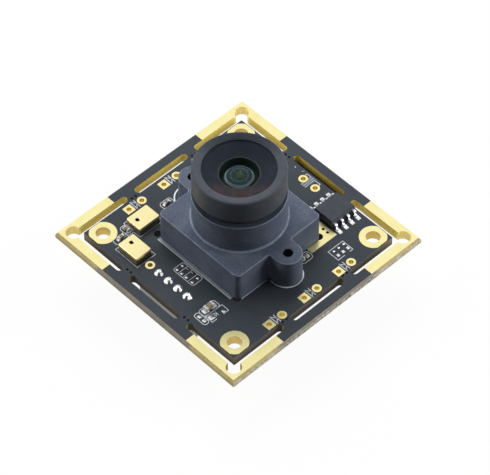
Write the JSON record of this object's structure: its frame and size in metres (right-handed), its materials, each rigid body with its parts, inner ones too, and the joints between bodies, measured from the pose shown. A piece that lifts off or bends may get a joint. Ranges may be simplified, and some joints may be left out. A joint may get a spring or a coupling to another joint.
{
  "type": "camera module",
  "caption": "Square circuit board with snap-off edge rails that carries a screw-in lens in a moulded holder, microphones and a wire connector underneath.",
  "frame": {"origin": "centre of the mounting-hole pattern, on the underside of the circuit board", "axes": "+Z out of the lens side of the board; the wire connector is on the -Y side; the lens holder's ears lie along X"},
  "size_m": [0.038, 0.038, 0.023],
  "materials": {
    "board": "satin solder mask over glass fibre",
    "gold_plating": "bright gold plating",
    "tin": "bright tin",
    "lead": "tinned leads",
    "holder": "fine matt moulding",
    "screw": "plain steel",
    "filter": "coated",
    "ceramic": "matt ceramic",
    "silicon": "polished",
    "cover_glass": "clear",
    "barrel": "satin black",
    "spacer": "matt black",
    "lens_glass": "green coating",
    "substrate": "dark laminate",
    "lid_gold": "satin gold plating",
    "chip": "fine matt moulding",
    "capacitor": "fired ceramic",
    "resistor": "glazed",
    "housing": "natural nylon",
    "inductor": "pressed powder",
    "print": "white printed ink"
  },
  "bodies": {
    "root": {"circuit_board": "board", "corner_pads": "gold_plating", "mounting_rings": "gold_plating", "round_pads": "gold_plating", "square_pads": "gold_plating", "ground_pad": "gold_plating", "tinned_pads": "tin", "lens_holder": "holder", "holder_screws": "screw", "infrared_filter": "filter", "sensor_package": "ceramic", "sensor_die": "silicon", "sensor_glass": "cover_glass", "sensor_joints": "tin", "lens_barrel": "barrel", "front_lens": "lens_glass", "front_spacer": "spacer", "second_lens": "lens_glass", "aperture_stop": "spacer", "third_lens": "lens_glass", "middle_spacer": "spacer", "fourth_lens": "lens_glass", "rear_lens": "lens_glass", "retaining_ring": "spacer", "microphone_bases": "substrate", "microphone_lids": "lid_gold", "microphone_dies": "silicon", "memory_chip": "chip", "memory_leads": "lead", "capacitor_bodies": "capacitor", "capacitor_ends": "tin", "pin_solder": "tin", "connector_pins": "lead", "connector_housing": "housing", "image_processor": "chip", "processor_pads": "tin", "crystal_base": "ceramic", "crystal_lid": "lead", "power_inductor": "inductor", "inductor_ends": "tin", "regulator_bodies": "chip", "regulator_leads": "lead", "underside_capacitors": "capacitor", "underside_capacitor_ends": "tin", "underside_resistors": "resistor", "underside_resistor_ends": "tin"}
  },
  "joints": []
}
